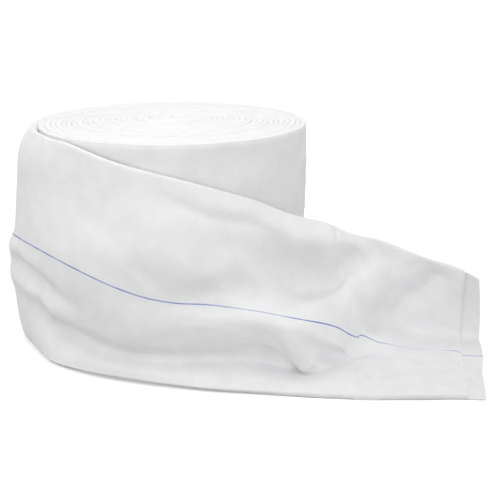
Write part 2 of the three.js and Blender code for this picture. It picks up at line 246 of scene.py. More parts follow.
# Sections of the loose end in their order along it
SECTIONS = (
    on_roll(150.0, foot=126, line=126, head=126),
    on_roll(159.0, foot=127, line=127.5, head=126.5),
    on_roll(168.0, foot=130.5, line=132, head=127.4),
    Section((-136, 2, 0), ((-140, 2, 46), (-140, 2, 74)), (-139.5, 2, 101.5),
        ((-138, 2, 150), (-133.5, 2, 188)), (-128.8, 2, 198.5)),
    Section((-139, -31, 0), ((-147.5, -30, 44), (-150, -29.5, 76)), (-145.5, -29, 102),
        ((-140, -29, 151), (-133.5, -29, 188)), (-127.2, -28, 198.5)),
    Section((-128, -58, 0), ((-130, -62, 45), (-131, -62, 74)), (-132, -62, 103.5),
        ((-127, -61, 151), (-121.5, -59.5, 186)), (-115.8, -56.5, 198)),
    Section((-117, -82, 0), ((-111, -82, 41), (-113.5, -86.5, 73)), (-116, -91, 105),
        ((-111, -86, 151.5), (-105.5, -84, 184)), (-101, -81, 197)),
    Section((-98, -109, 1), ((-96, -93, 30), (-94.5, -107, 45.5), (-93, -114.5, 65)), (-90, -120, 101),
        ((-87.5, -117, 122), (-85, -107.5, 151), (-83, -104.5, 177)), (-80, -103, 195)),
    Section((-68, -129, 3), ((-68, -113, 26), (-67, -125.5, 41), (-66, -131.5, 60)), (-64, -137, 93.5),
        ((-62, -135.5, 114), (-60, -125, 145), (-58, -120.5, 170)), (-56, -119, 188.5)),
    Section((-42, -141, 4), ((-43, -129, 22), (-42.5, -137.5, 34), (-41.5, -142.5, 53)),
        (-39.5, -145, 84.5),
        ((-38, -145, 106), (-36, -135, 138), (-34.5, -129.5, 163)), (-33, -127, 182)),
    Section((-13, -152, 4), ((-17, -135, 20), (-16.5, -143, 31), (-16, -147.5, 46), (-15, -148, 62.5)),
        (-14, -147, 76),
        ((-12.5, -148, 89), (-11, -149.5, 108), (-10, -143.5, 135), (-8.5, -135, 159)), (-7, -131, 176)),
    Section((14, -160, 4), ((8, -137.5, 20.5), (8, -145.5, 32), (8.5, -150, 46), (9.5, -150, 62)),
        (11, -147, 71.5),
        ((12.5, -149, 82), (14, -151.5, 97), (15, -145.5, 128), (16.5, -138, 151)), (18, -130, 170)),
    Section((40, -166, 4), ((35, -138, 20.5), (35, -146.5, 32), (35.5, -152, 46), (36, -152.5, 61)),
        (37, -145, 69.5),
        ((38, -144.5, 78), (39.5, -146.5, 93), (40.5, -139.5, 122), (42, -132.5, 148)), (43, -124, 162)),
    Section((76, -171, 4), ((74, -135.5, 19), (74, -145.5, 31), (73.5, -151, 45), (73, -152.5, 58.5)),
        (72, -147, 65.5),
        ((72.5, -135, 71.5), (72.5, -129.5, 79), (73, -129, 92), (73.5, -123, 112), (73.5, -121, 133)),
        (74, -110, 150)),
    Section((117, -176, 4), ((118, -137, 9), (118, -141.5, 15), (116.5, -149, 35), (115, -151, 51.5)),
        (111.5, -145, 57),
        ((111, -121, 61), (110.5, -106, 62.5), (110, -91.5, 65.5), (109, -91, 78), (108.5, -98.5, 97),
        (108, -107, 116)), (107, -91, 133)),
    Section((145, -179, 4), ((149, -113, 11.5), (146, -127.5, 29)), (143, -122, 42.5),
        ((142.5, -100, 55.5), (142, -86, 60), (142, -78, 64), (141.5, -78.5, 76), (141, -83, 93),
        (140.5, -86, 107)), (140, -70, 120)),
    Section((170, -181, 4), ((175, -92, 5.5), (173.5, -87.5, 12)), (172, -87, 18),
        ((171.5, -90, 30), (171, -87, 45), (170.5, -81, 66), (169.5, -68, 75), (169, -63, 82),
        (168, -66, 97)), (167, -60, 106.5)),
    Section((192, -181, 4.4), ((192, -117, 5),), (193, -82, 11.7),
        ((192.5, -67, 23.5), (192, -73, 51.5), (191, -66, 75), (190.5, -58, 87)), (190, -57, 99)),
    Section((215, -181, 4.6), ((216, -119, 4.7),), (217, -81, 6.5),
        ((219, -51, 12.5), (220, -54, 42), (221, -61, 69)), (222.5, -63, 86.5)),
    Section((238, -180, 4.7), ((243, -119, 4.7),), (246, -81, 5.2),
        ((252, -48, 10), (252.5, -53, 38)), (254, -63, 76)),
    Section((264, -182, 4.7), ((273.5, -121, 4.7),), (281, -87, 4.8),
        ((287, -46, 5), (285, -50, 30)), (279, -63, 63.5)),
)

# Main folds of the loose end. Its solid has the same twelve, a few of them with other places or depths.
MAIN_FOLDS = (
    Fold("side ridge", ((55, 91), (110, 90), (165, 84), (215, 80)), 4, 9, 9, 0.4, 0.4),
    Fold("side crease", ((108, 83), (130, 77), (150, 71), (175, 67), (205, 69), (250, 64)),
        -5, 9, 9, 0.2, 0.5),
    Fold("side swell", ((85, 64), (130, 60), (170, 55), (210, 52), (240, 48)), 4, 9, 9, 0.3, 0.4),
    Fold("foot crease",
        ((165, 44), (211, 34), (229, 26), (252, 22), (275, 22), (307, 27), (341, 34), (393, 40)),
        -3, 9, 8, 0.2, 0.2),
    Fold("under the belly",
        ((255, 128), (283, 123), (294, 115), (309, 109), (335, 108), (359, 113), (400, 130)),
        -1.5, 12, 6, 0.25, 0.3),
    Fold("under the band", ((276, 186), (317, 182), (343, 176), (380, 179), (432, 181), (452, 178)),
        -2.5, 6, 10, 0.3, 0.3),
    Fold("pocket", ((405, 160), (429, 155), (455, 150), (478, 150), (499, 162), (510, 176), (521, 194)),
        -5, 14, 11, 0.35, 0.1),
    Fold("ridge", ((400, 104), (426, 116), (450, 120), (468, 130), (488, 143), (506, 157), (541, 183)),
        4, 7, 14, 0.3, 0.25),
    Fold("tongue", ((404, 96), (412, 72), (421, 42)), 5, 9, 8, 0.4, 0.05),
    Fold("left of the tongue", ((360, 50), (390, 55), (411, 44)), -3, 10, 5, 0.4, 0.2),
    Fold("right of the tongue", ((430, 56), (465, 68), (494, 81), (510, 92)), -4, 11, 8, 0.2, 0.25),
    Fold("slanting crease", ((586, 196), (572, 172), (562, 160), (551, 142), (538, 125), (514, 104)),
        -8, 8, 15, 0.1, 0.25),
)

# Small creases and wrinkles that only the fine surface carries
CREASE = partial(Fold, shape=FoldShape.CREASE)
FINE_FOLDS = (
    CREASE("side crease line", ((112, 81), (130, 76), (150, 70), (175, 66), (205, 68), (235, 67)),
        -1.8, 4, 5, 0.2, 0.5),
    CREASE("foot crease line",
        ((188, 40), (205, 34), (218, 29), (229, 26), (246, 22), (275, 22), (300, 27)),
        -5, 4, 6, 0.35, 0.35),
    CREASE("slanting line",
        ((584, 192), (572, 170), (564, 158), (554, 142), (543, 128), (533, 118), (514, 103)),
        -4, 4, 7, 0.1, 0.25),
    CREASE("shadow left of the tongue", ((362, 58), (388, 57), (404, 50), (419, 38)),
        -4.5, 5, 3.5, 0.4, 0.05),
    CREASE("shadow right of the tongue", ((425, 40), (432, 54), (448, 62), (470, 66)),
        -3, 3.5, 3.5, 0.1, 0.5),
    Fold("left edge of the tongue", ((388, 88), (395, 80), (406, 69), (414, 56), (421, 38)),
        1.6, 6, 5, 0.4, 0.05, FoldShape.STEP),
    CREASE("fine crease", ((494, 145), (512, 148), (525, 155), (536, 165), (546, 178), (564, 197)),
        -1.2, 2.5, 4, 0.3, 0.1),
    CREASE("fine crease beside it", ((554, 182), (559, 190), (567, 200)), -0.9, 2.5, 2.5, 0.3, 0.1),
    CREASE("light crease", ((307, 80), (351, 78), (390, 75)), 0.8, 2.5, 4, 0.4, 0.4),
    CREASE("level crease", ((536, 115), (551, 127), (564, 134), (588, 139), (603, 138)),
        -1.2, 5, 4, 0.3, 0.1),
    Fold("upright dip", ((595, 190), (600, 150)), -1.2, 5, 5, 0.1, 0.4),
    CREASE("band crease", ((300, 184), (335, 176), (361, 175), (406, 181), (432, 181)),
        -0.8, 3, 4, 0.3, 0.4),
    Fold("band streak", ((465, 198), (471, 185), (478, 172)), 1.0, 4, 4, 0.1, 0.4),
    Fold("band dip", ((478, 198), (482, 183)), -1.2, 4, 4, 0.1, 0.4),
    Fold("edge wrinkle", ((450, 200), (454, 188)), -0.8, 3, 3, 0.1, 0.5),
    Fold("flat wrinkle", ((517, 78), (520, 42), (515, 15)), 0.9, 4, 3, 0.2, 0.4),
    Fold("small flat wrinkle", ((536, 27), (541, 18), (538, 8)), 0.7, 4, 4, 0.3, 0.3),
    Fold("first seam of the strip", ((611, 198), (611, 2)), -0.5, 2, 2, 0.02, 0.02),
    Fold("second seam of the strip", ((619, 198), (619, 2)), -0.5, 2, 2, 0.02, 0.02),
    Fold("apron wrinkle", ((408, 36), (426, 21), (450, 12)), 0.8, 4, 4, 0.3, 0.3),
)

# Soft bands round the bare wall of the roll, on paths of angle in degrees and height
WALL_FOLDS = (
    Fold("upper band", ((250, 164), (330, 166), (400, 163)), 0.7, 7, 9, 0.3, 0.3),
    Fold("lower band", ((280, 143), (350, 146), (420, 141)), 0.6, 6, 8, 0.3, 0.3),
    Fold("wall crease", ((325, 108), (350, 114), (372, 112)), -1.2, 4, 7, 0.4, 0.4),
    Fold("back band", ((420, 120), (470, 124), (505, 120)), 0.7, 12, 14, 0.3, 0.3),
)


def ease(share: Array) -> Array:
    """A smooth rise from 0 to 1.

    Args:
        share: Values of any size, flat below 0 and above 1.

    Returns:
        The eased values, from 0 to 1.
    """
    held = np.clip(share, 0, 1)
    return held * held * (3 - 2 * held)


def unit(vectors: Array) -> Array:
    """Vectors brought to length 1.

    Args:
        vectors: Vectors along the last axis.

    Returns:
        The same directions at length 1.
    """
    return vectors / np.maximum(np.linalg.norm(vectors, axis=-1, keepdims=True), 1e-9)


def smooth_curve(knots: Array, points: Array, places: Array) -> Array:
    """A smooth curve through points at uneven knots.

    Args:
        knots: Knot values, rising.
        points: A point at each knot along the first axis.
        places: Knot values to find the curve at.

    Returns:
        The curve's points, one for each place along the first axis.
    """
    spans = np.diff(knots)
    wide = (-1,) + (1,) * (points.ndim - 1)
    slopes = np.diff(points, axis=0) / spans.reshape(wide)
    before = spans[:-1].reshape(wide)
    after = spans[1:].reshape(wide)
    inner = (slopes[1:] * before + slopes[:-1] * after) / (before + after)
    tangents = np.concatenate([slopes[:1], inner, slopes[-1:]])
    first = np.clip(np.searchsorted(knots, places, side="right") - 1, 0, len(spans) - 1)
    span = spans[first].reshape(wide)
    t = np.clip((places - knots[first]) / spans[first], 0, 1).reshape(wide)
    return (
        points[first] * (2 * t**3 - 3 * t**2 + 1)
        + tangents[first] * (t**3 - 2 * t**2 + t) * span
        + points[first + 1] * (3 * t**2 - 2 * t**3)
        + tangents[first + 1] * (t**3 - t**2) * span
    )


def travel(points: Array) -> Array:
    """Distance along a chain of points.

    Args:
        points: Points along the first axis.

    Returns:
        The distance from the first point to each, along the chain.
    """
    return np.concatenate([[0.0], np.cumsum(np.linalg.norm(np.diff(points, axis=0), axis=1))])


@dataclass(frozen=True)
class Lumps:
    """Soft unevenness of padding, as a sum of waves in random directions."""

    seed: int
    spacing: float
    height: float
    waves: int = 9
    shortest: float = 0.7
    longest: float = 1.6

    def stand(self, run: Array, across: Array) -> Array:
        """How far the cloth stands out at places on it.

        Args:
            run: Places along the cloth, on a grid.
            across: Places over its width, on the same grid.

        Returns:
            The height at each place.
        """
        draw = np.random.default_rng(self.seed)
        total = np.zeros(run.shape)
        for _ in range(self.waves):
            heading = draw.uniform(0, math.pi)
            length = self.spacing * draw.uniform(self.shortest, self.longest)
            phase = draw.uniform(0, 2 * math.pi)
            along = run * math.cos(heading) + across * math.sin(heading)
            total += np.sin(2 * math.pi * along / length + phase)
        return self.height * total / math.sqrt(self.waves)


@dataclass
class GridMesh:
    """A mesh laid out as a grid of columns, each a closed loop of points round a section of the web.

    Points closer than merge_below millimetres become one, and edges over sharp_from degrees stay sharp.
    """

    name: str
    loops: Array
    pattern: Array
    merge_below: float = 0.002
    sharp_from: float = 75.0

    def build(self) -> bpy.types.Object:
        """Adds a flat grid, moves its points into place, closes its seam and caps its open ends.

        Returns:
            The finished object, smooth but for steep edges, with the pattern places as its UV map.
        """
        columns, rows = self.loops.shape[:2]
        bpy.ops.mesh.primitive_grid_add(x_subdivisions=columns - 1, y_subdivisions=rows - 1, size=1)
        piece = bpy.context.active_object
        piece.name = self.name
        piece.data.name = self.name
        flat = np.zeros(len(piece.data.vertices) * 3)
        piece.data.vertices.foreach_get("co", flat)
        flat = flat.reshape(-1, 3)
        column = np.rint((flat[:, 0] + 0.5) * (columns - 1)).astype(int)
        row = np.rint((flat[:, 1] + 0.5) * (rows - 1)).astype(int)
        piece.data.vertices.foreach_set("co", self.loops[column, row].ravel())
        corner = np.zeros(len(piece.data.loops), int)
        piece.data.loops.foreach_get("vertex_index", corner)
        places = self.pattern[column[corner], row[corner]]
        piece.data.uv_layers.active.data.foreach_set("uv", places.ravel())
        self.close()
        return piece

    def close(self) -> None:
        """Merges the seam, fills the open ends and turns every face outwards."""
        bpy.ops.object.mode_set(mode="EDIT")
        bpy.ops.mesh.select_mode(type="VERT")
        bpy.ops.mesh.select_all(action="SELECT")
        bpy.ops.mesh.remove_doubles(threshold=self.merge_below * MM)
        bpy.ops.mesh.select_all(action="DESELECT")
        bpy.ops.mesh.select_non_manifold(extend=False)
        bpy.ops.mesh.fill_holes(sides=0)
        bpy.ops.mesh.select_all(action="SELECT")
        bpy.ops.mesh.normals_make_consistent(inside=False)
        bpy.ops.object.mode_set(mode="OBJECT")
        bpy.ops.object.shade_smooth_by_angle(angle=math.radians(self.sharp_from))


def rounded_loops(outer: Array, inner: Array, head_reach: Array, foot_reach: Array, steps: int) -> Array:
    """Closes an outer and an inner face into loops with round edges.

    Args:
        outer: Outer face, columns by places over the width by coordinates.
        inner: Inner face on the same grid.
        head_reach: How far the round upper edge stands past the face's own edge, for each column.
        foot_reach: The same for the lower edge.
        steps: Points on each round edge.

    Returns:
        Closed loops: up the outer face, over the head, down the inner face and back under the foot.
    """
    angles = np.linspace(0, math.pi, steps + 2)[1:-1]

    def edge(at: int, beside: int, first: Array, second: Array, far: Array) -> list[Array]:
        """Points of a half round from the first face to the second at one edge."""
        away = unit(outer[:, at] - outer[:, beside] + inner[:, at] - inner[:, beside])
        middle = (first[:, at] + second[:, at]) / 2
        half = (first[:, at] - second[:, at]) / 2
        return [middle + half * math.cos(a) + away * far[:, None] * math.sin(a) for a in angles]

    over_head = np.stack(edge(-1, -2, outer, inner, head_reach), axis=1)
    under_foot = np.stack(edge(0, 1, inner, outer, foot_reach), axis=1)
    return np.concatenate([outer, over_head, inner[:, ::-1], under_foot, outer[:, :1]], axis=1)


@dataclass
class LooseEnd:
    """The outer turn of the web, pulled free of the roll and laid out to its right.

    The rim is the upper edge, thicker where it has parted from the roll. The apron is the cloth below the
    lowest crease. The pleat hides a little cloth, so that the blue line jumps there.
    """

    web: Web = Web()
    run_step: float = 2.1
    across_step: float = 2.0
    pad_end_columns: int = 7
    strip_columns: int = 9
    tip_step: float = 0.6
    edge_steps: int = 3
    foot_reach: float = 0.7
    least_height: float = 0.9
    rim_swell: float = 6.0
    rim_depth: float = 16.0
    parted_from: float = 12.0
    parted_run: float = 130.0
    parted_fade: float = 40.0
    pleat_run: float = 509.0
    pleat_depth: float = 3.6
    pleat_rise: float = 5.0
    pleat_length: float = 6.0
    pleat_fall: float = 20.0
    foot_share: float = 0.25
    apron_crown: float = 2.0
    least_crown: float = 0.4
    full_crown_rise: float = 25.0
    calm_run: float = 60.0
    lumps: tuple[Lumps, ...] = (Lumps(7, 60.0, 0.25), Lumps(19, 20.0, 0.04))

    def base(self, across: Array) -> tuple[Array, Array]:
        """Smooth curves over the width of every section.

        Args:
            across: Places over the width.

        Returns:
            The run of each section, and its points at those places.
        """
        feet = np.array([section.foot for section in SECTIONS], float)
        creases = np.array([section.lower[0] for section in SECTIONS], float)
        lines = np.array([section.line for section in SECTIONS], float)
        apron = unit(np.cross(unit(np.gradient(feet, axis=0)), creases - feet))
        curves = []
        for section, foot, crease, crown in zip(SECTIONS, feet, creases, apron):
            fullness = min(1.0, self.least_crown + (crease[2] - foot[2]) / self.full_crown_rise)
            bulge = self.apron_crown * fullness if section.upper else 0.0
            near_foot = foot + (crease - foot) * self.foot_share + crown * bulge
            lower = np.array([foot, near_foot, *section.lower, section.line])
            upper = np.array([section.line, *section.upper, section.head])
            below, above = (travel(half) / travel(half)[-1] for half in (lower, upper))
            knots = np.concatenate([below, 1 + above[1:]]) * self.web.middle
            curves.append(smooth_curve(knots, np.concatenate([lower, upper[1:]]), across))
        return travel(lines), np.array(curves)

    def faces(self) -> tuple[Array, Array, Array, Array]:
        """The outer and inner faces of the cloth with all its folds.

        Returns:
            The outer face, the inner face, the runs of the columns and the thickness at each.
        """
        web = self.web
        across = np.linspace(0, web.width, round(web.width / self.across_step) + 1)
        section_runs, curves = self.base(across)
        length = section_runs[-1]
        run = self.columns(length)
        surface = smooth_curve(section_runs, curves, run)
        normal = unit(np.cross(np.gradient(surface, axis=0), np.gradient(surface, axis=1)))
        run_grid, across_grid = np.meshgrid(run, across, indexing="ij")
        stand = sum(fold.stand(run_grid, across_grid) for fold in MAIN_FOLDS + FINE_FOLDS)
        free = ease(run_grid / self.calm_run)
        for lumps in self.lumps:
            stand = stand + lumps.stand(run_grid, across_grid) * free
        top = self.outside_roll(surface + normal * stand[..., None], web.thickness + web.gap)
        thickness = web.thickness_at(run, length)
        outer = top - normal * (web.thickness - thickness)[:, None, None]
        rim = ease((across_grid - web.width + self.rim_depth) / self.rim_depth)
        swell = self.rim_swell * rim * ease((self.parted_run - run_grid) / self.parted_fade)
        swell = swell * ease(run_grid / self.parted_from)
        inner = self.outside_roll(top - normal * (web.thickness + swell)[..., None], web.gap)
        outer[..., 2] = np.maximum(outer[..., 2], self.least_height * thickness[:, None])
        tip = run >= length
        thickness = np.where(tip, 0.0, thickness)
        inner[tip] = outer[tip]
        return outer, inner, run, thickness

    def columns(self, length: float) -> Array:
        """Runs of the columns, closer together at the pad's round end and at the cut tip.

        Args:
            length: Length of the loose end.

        Returns:
            The runs, from 0 to the length.
        """
        pad_end = length - self.web.strip_length
        even = np.arange(0, pad_end - self.web.pad_end_round, self.run_step)
        turned = np.linspace(0, math.pi / 2, self.pad_end_columns)
        step = pad_end - self.web.pad_end_round * (1 - np.sin(turned))
        strip = np.linspace(pad_end, length - self.tip_step, self.strip_columns)[1:]
        return np.concatenate([even, step, strip, [length]])

    def outside_roll(self, points: Array, clearance: float) -> Array:
        """Keeps points off the roll.

        Args:
            points: Points of one face of the cloth.
            clearance: The least distance to the roll's wall.

        Returns:
            The points, pushed outwards where they lay too close.
        """
        radius = np.hypot(points[..., 0], points[..., 1])
        angle = np.degrees(np.arctan2(points[..., 1], points[..., 0]))
        least = self.web.roll_radius_at(angle) + clearance
        push = np.maximum(least / np.maximum(radius, 1.0), 1.0)
        cleared = points.copy()
        cleared[..., :2] *= push[..., None]
        return cleared

    def build(self) -> bpy.types.Object:
        """Models the loose end.

        Returns:
            The finished piece.
        """
        outer, inner, run, thickness = self.faces()
        share = thickness / self.web.thickness
        web = self.web
        head, foot = web.edge_round * share, self.foot_reach * share
        loops = rounded_loops(outer, inner, head, foot, self.edge_steps)
        loops[..., 2] = np.maximum(loops[..., 2], 0)
        across = np.linspace(0, web.width, outer.shape[1])
        edge = np.linspace(0, web.thickness, self.edge_steps + 2)[1:-1]
        round_the_web = np.concatenate([across, web.width + edge])
        whole = np.concatenate([round_the_web, web.width + web.thickness + round_the_web, [2 * web.width]])
        runs, girth = np.meshgrid(run, whole, indexing="ij")
        past = runs - self.pleat_run
        hidden = self.pleat_depth * ease(past / self.pleat_rise)
        hidden = hidden * ease(1 - (past - self.pleat_length) / self.pleat_fall)
        pattern = np.stack([runs, girth - hidden], axis=-1) * MM
        return GridMesh("loose_end_cloth", loops * MM, pattern).build()

    @property
    def length(self) -> float:
        """Length of the loose end along its middle line."""
        return float(self.base(np.array([0.0]))[0][-1])


@dataclass
class WoundRoll:
    """The web wound on itself, turn on turn, standing on one of its long edges.

    A wave is a count round the roll, a twist toward its middle, a strength and a phase. Names with calm
    give the stretch over which an unevenness grows: in degrees from where the web leaves, in millimetres
    from the middle, or as a share of the radius or of the width.
    """

    web: Web = Web()
    start_radius: float = 5.5
    inner_step: float = 4.5
    outer_step: float = 2.0
    fine_angle: float = 372.0
    inner_rows: int = 3
    outer_rows: int = 41
    edge_steps: int = 4
    off_centre: tuple[float, float] = (-2.0, 13.0)
    drift: float = 1.5
    waves: tuple[tuple[float, float, float, float], ...] = ((3, 9, 1.0, 0.0), (5, -14, 0.6, 1.3))
    wave_height: float = 0.5
    wave_calm: float = 40.0
    middle_calm: float = 30.0
    outside_calm: float = 0.1
    crown: float = 2.0
    crown_rise: float = 1.4
    turn_unevenness: float = 0.7
    turn_calm: float = 60.0
    parting: float = 0.02
    flat_reach: float = 0.45
    round_reach: float = 1.1
    least_varied: float = 0.2
    front_share: float = 0.35
    middle_loss: float = 0.6
    round_fade: float = 300.0
    bare_calm: float = 25.0
    covered_angle: float = 12.0
    wall_lumps: Lumps = Lumps(43, 60.0, 0.35)
    wall_per_degree: float = 2.2
    edge_calm: float = 0.08
    seed: int = 31

    @property
    def turned(self) -> float:
        """Angle in degrees through which the web is wound."""
        return 360.0 * (self.web.roll_radius - self.start_radius) / self.web.turn_pitch

    @property
    def length(self) -> float:
        """Length of web in the roll, along the middle of its thickness."""
        mean = (self.web.roll_radius + self.start_radius - self.web.thickness) / 2
        return math.radians(self.turned) * mean

    def spiral(self, back: Array) -> Array:
        """Plan of the outer face of the web.

        Args:
            back: Degrees back from where the web leaves the roll.

        Returns:
            A point in the plan for each angle, in millimetres.
        """
        radius = np.maximum(self.web.roll_radius - self.web.turn_pitch * back / 360.0, 0.0)
        angle = np.radians(self.web.leaving_angle - back)
        inward = 1 - radius / self.web.roll_radius
        wave = sum(
            strength * np.sin(count * angle + twist * inward + phase)
            for count, twist, strength, phase in self.waves
        )
        settled = ease(back / self.wave_calm) * ease(radius / self.middle_calm)
        radius = radius + self.wave_height * wave * settled * ease(inward / self.outside_calm)
        ring = np.stack([np.cos(angle), np.sin(angle)], axis=-1) * radius[:, None]
        return ring + np.array(self.off_centre) * (inward**self.drift)[:, None]

    def rise(self, back: Array) -> Array:
        """How far the upper edge of each turn stands above the web's width.

        Args:
            back: Degrees back from where the web leaves the roll.

        Returns:
            The rise for each angle, in millimetres.
        """
        turns = back / 360.0
        draw = np.random.default_rng(self.seed)
        offsets = draw.uniform(-1, 1, int(turns.max()) + 3)
        whole = np.floor(turns).astype(int)
        between = ease(turns - whole)
        uneven = offsets[whole] * (1 - between) + offsets[whole + 1] * between
        inward = np.clip(turns * self.web.turn_pitch / self.web.roll_radius, 0, 1)
        raised = self.crown * ease(inward * self.crown_rise)
        return raised + self.turn_unevenness * uneven * ease(back / self.turn_calm)

    def turn_reach(self, back: Array) -> Array:
        """How round the upper edge of each turn is: least at the front and toward the middle of the roll.

        Args:
            back: Degrees back from where the web leaves the roll.

        Returns:
            The height of the round edge for each angle, in millimetres.
        """
        angle = np.radians(self.web.leaving_angle - back)
        draw = np.random.default_rng(self.seed + 1)
        turns = back / 360.0
        whole = np.floor(turns).astype(int)
        varied = draw.uniform(self.least_varied, 1.0, int(turns.max()) + 3)
        mixed = varied[whole] + (varied[whole + 1] - varied[whole]) * ease(turns - whole)
        away = 0.5 + 0.5 * np.sin(angle)
        inward = np.clip(turns * self.web.turn_pitch / self.web.roll_radius, 0, 1)
        around = self.front_share + (1 - self.front_share) * away
        share = mixed * around * (1 - self.middle_loss * inward)
        outermost = 1 - ease(back / self.round_fade)
        return self.flat_reach + (self.round_reach - self.flat_reach) * np.maximum(share, outermost)

    def loops(self, back: Array, heights: Array) -> Array:
        """Closed loops round the section of the web, one for each place along it.

        Args:
            back: Degrees back from where the web leaves the roll.
            heights: Shares of the width at which the wall has a point.

        Returns:
            The loops, columns by rows by coordinates, in millimetres.
        """
        web = self.web
        plan = self.spiral(back)
        beneath = self.spiral(back + 360.0)
        hidden = beneath + (plan - beneath) * self.parting
        reach = self.turn_reach(back)
        top = web.width - reach + self.rise(back)
        height = web.edge_round + heights * (top - web.edge_round)[:, None]
        outer, inner = (
            np.concatenate([np.repeat(face[:, None], len(heights), axis=1), height[..., None]], axis=-1)
            for face in (plan, hidden)
        )
        angle_grid = np.repeat((web.leaving_angle + 360.0 - back)[:, None], len(heights), axis=1)
        bare = ease(back / self.bare_calm)[:, None] * (back < 360.0 - self.covered_angle)[:, None]
        stand = sum(fold.stand(angle_grid, height) for fold in WALL_FOLDS)
        stand = stand + self.wall_lumps.stand(angle_grid * self.wall_per_degree, height)
        inside_edges = ease(heights / self.edge_calm) * ease((1 - heights) / self.edge_calm)
        stand = stand * bare * inside_edges
        outward = unit(outer[..., :2])
        outer[..., :2] += outward * stand[..., None]
        return rounded_loops(outer, inner, reach, np.full(len(back), web.edge_round), self.edge_steps)

    def winding(self, name: str, back: Array, rows: int) -> bpy.types.Object:
        """Models one stretch of the wound web.

        Args:
            name: Name of the object.
            back: Degrees back from where the web leaves the roll, falling.
            rows: Points over the height of the wall.

        Returns:
            The stretch as an object of its own.
        """
        loops = self.loops(back, np.linspace(0, 1, rows))
        mean_radius = self.web.roll_radius - self.web.turn_pitch * (back / 2) / 360.0
        run = -np.radians(back) * mean_radius
        girth = travel(loops[len(loops) // 2])
        pattern = np.stack(np.meshgrid(run, girth, indexing="ij"), axis=-1) * MM
        return GridMesh(name, loops * MM, pattern).build()

    def build(self) -> bpy.types.Object:
        """Models the inner turns and the bare outer turn, and joins them.

        Returns:
            The finished roll.
        """
        inner_back = np.linspace(self.turned, self.fine_angle, round(self.turned / self.inner_step))
        outer_back = np.linspace(self.fine_angle, 0, round(self.fine_angle / self.outer_step) + 1)
        core = self.winding("inner_turns", inner_back, self.inner_rows)
        roll = self.winding("wound_roll_web", outer_back, self.outer_rows)
        core.select_set(True)
        bpy.context.view_layer.objects.active = roll
        bpy.ops.object.join()
        return roll


def set_inputs(node: Node, values: dict[Socket, object]) -> None:
    """Sets plain values on a node's inputs.

    Args:
        node: The node.
        values: Values of its inputs, by name or number.
    """
    for socket, value in values.items():
        node.inputs[socket].default_value = value


def add_node(
    tree: Tree, kind: str, values: dict[Socket, object] | None = None, **settings: object
) -> Node:
    """Adds a shader node.

    Args:
        tree: The tree that it joins.
        kind: Its type, without the word ShaderNode in front.
        values: Values of its inputs, by name or number.
        settings: The node's own settings, such as its operation.

    Returns:
        The node.
    """
    node = tree.nodes.new("ShaderNode" + kind)
    for name, setting in settings.items():
        setattr(node, name, setting)
    set_inputs(node, values or {})
    return node


def connect(tree: Tree, *wires: Wire) -> None:
    """Links the nodes of a tree.

    Args:
        tree: The tree that holds them.
        wires: For each link the node and output that it leaves, then the node and input that it enters.
    """
    for giver, output, taker, entry in wires:
        tree.links.new(giver.outputs[output], taker.inputs[entry])


def new_group(name: str, values: dict[str, float], outputs: tuple[str, ...]) -> tuple[Tree, Node, Node]:
    """Starts a node group that reads a vector and some values.

    Args:
        name: The group's name.
        values: Its value inputs, with what they hold at first.
        outputs: Names of its outputs.

    Returns:
        The group, the node with its inputs and the node with its outputs.
    """
    tree = bpy.data.node_groups.new(name, "ShaderNodeTree")
    tree.interface.new_socket("Vector", in_out="INPUT", socket_type="NodeSocketVector")
    for label, value in values.items():
        socket = tree.interface.new_socket(label, in_out="INPUT", socket_type="NodeSocketFloat")
        socket.default_value = value
    for label in outputs:
        tree.interface.new_socket(label, in_out="OUTPUT", socket_type="NodeSocketFloat")
    return tree, tree.nodes.new("NodeGroupInput"), tree.nodes.new("NodeGroupOutput")


@dataclass(frozen=True)
class Thread:
    """The thin blue line along the middle of the web's outer face, in metres.

    weights are pairs of a place along the web and the share of its full colour that the line has there.
    """

    across: float = 0.1
    half_width: float = 0.00065
    colour: Colour = (0.07, 0.12, 0.50, 1.0)
    weights: tuple[tuple[float, float], ...] = (
        (0.340, 0.85), (0.365, 0.5), (0.400, 0.55), (0.420, 1.0), (0.505, 1.0), (0.530, 0.7),
        (0.550, 0.25), (0.592, 0.15), (0.600, 0.9),
    )


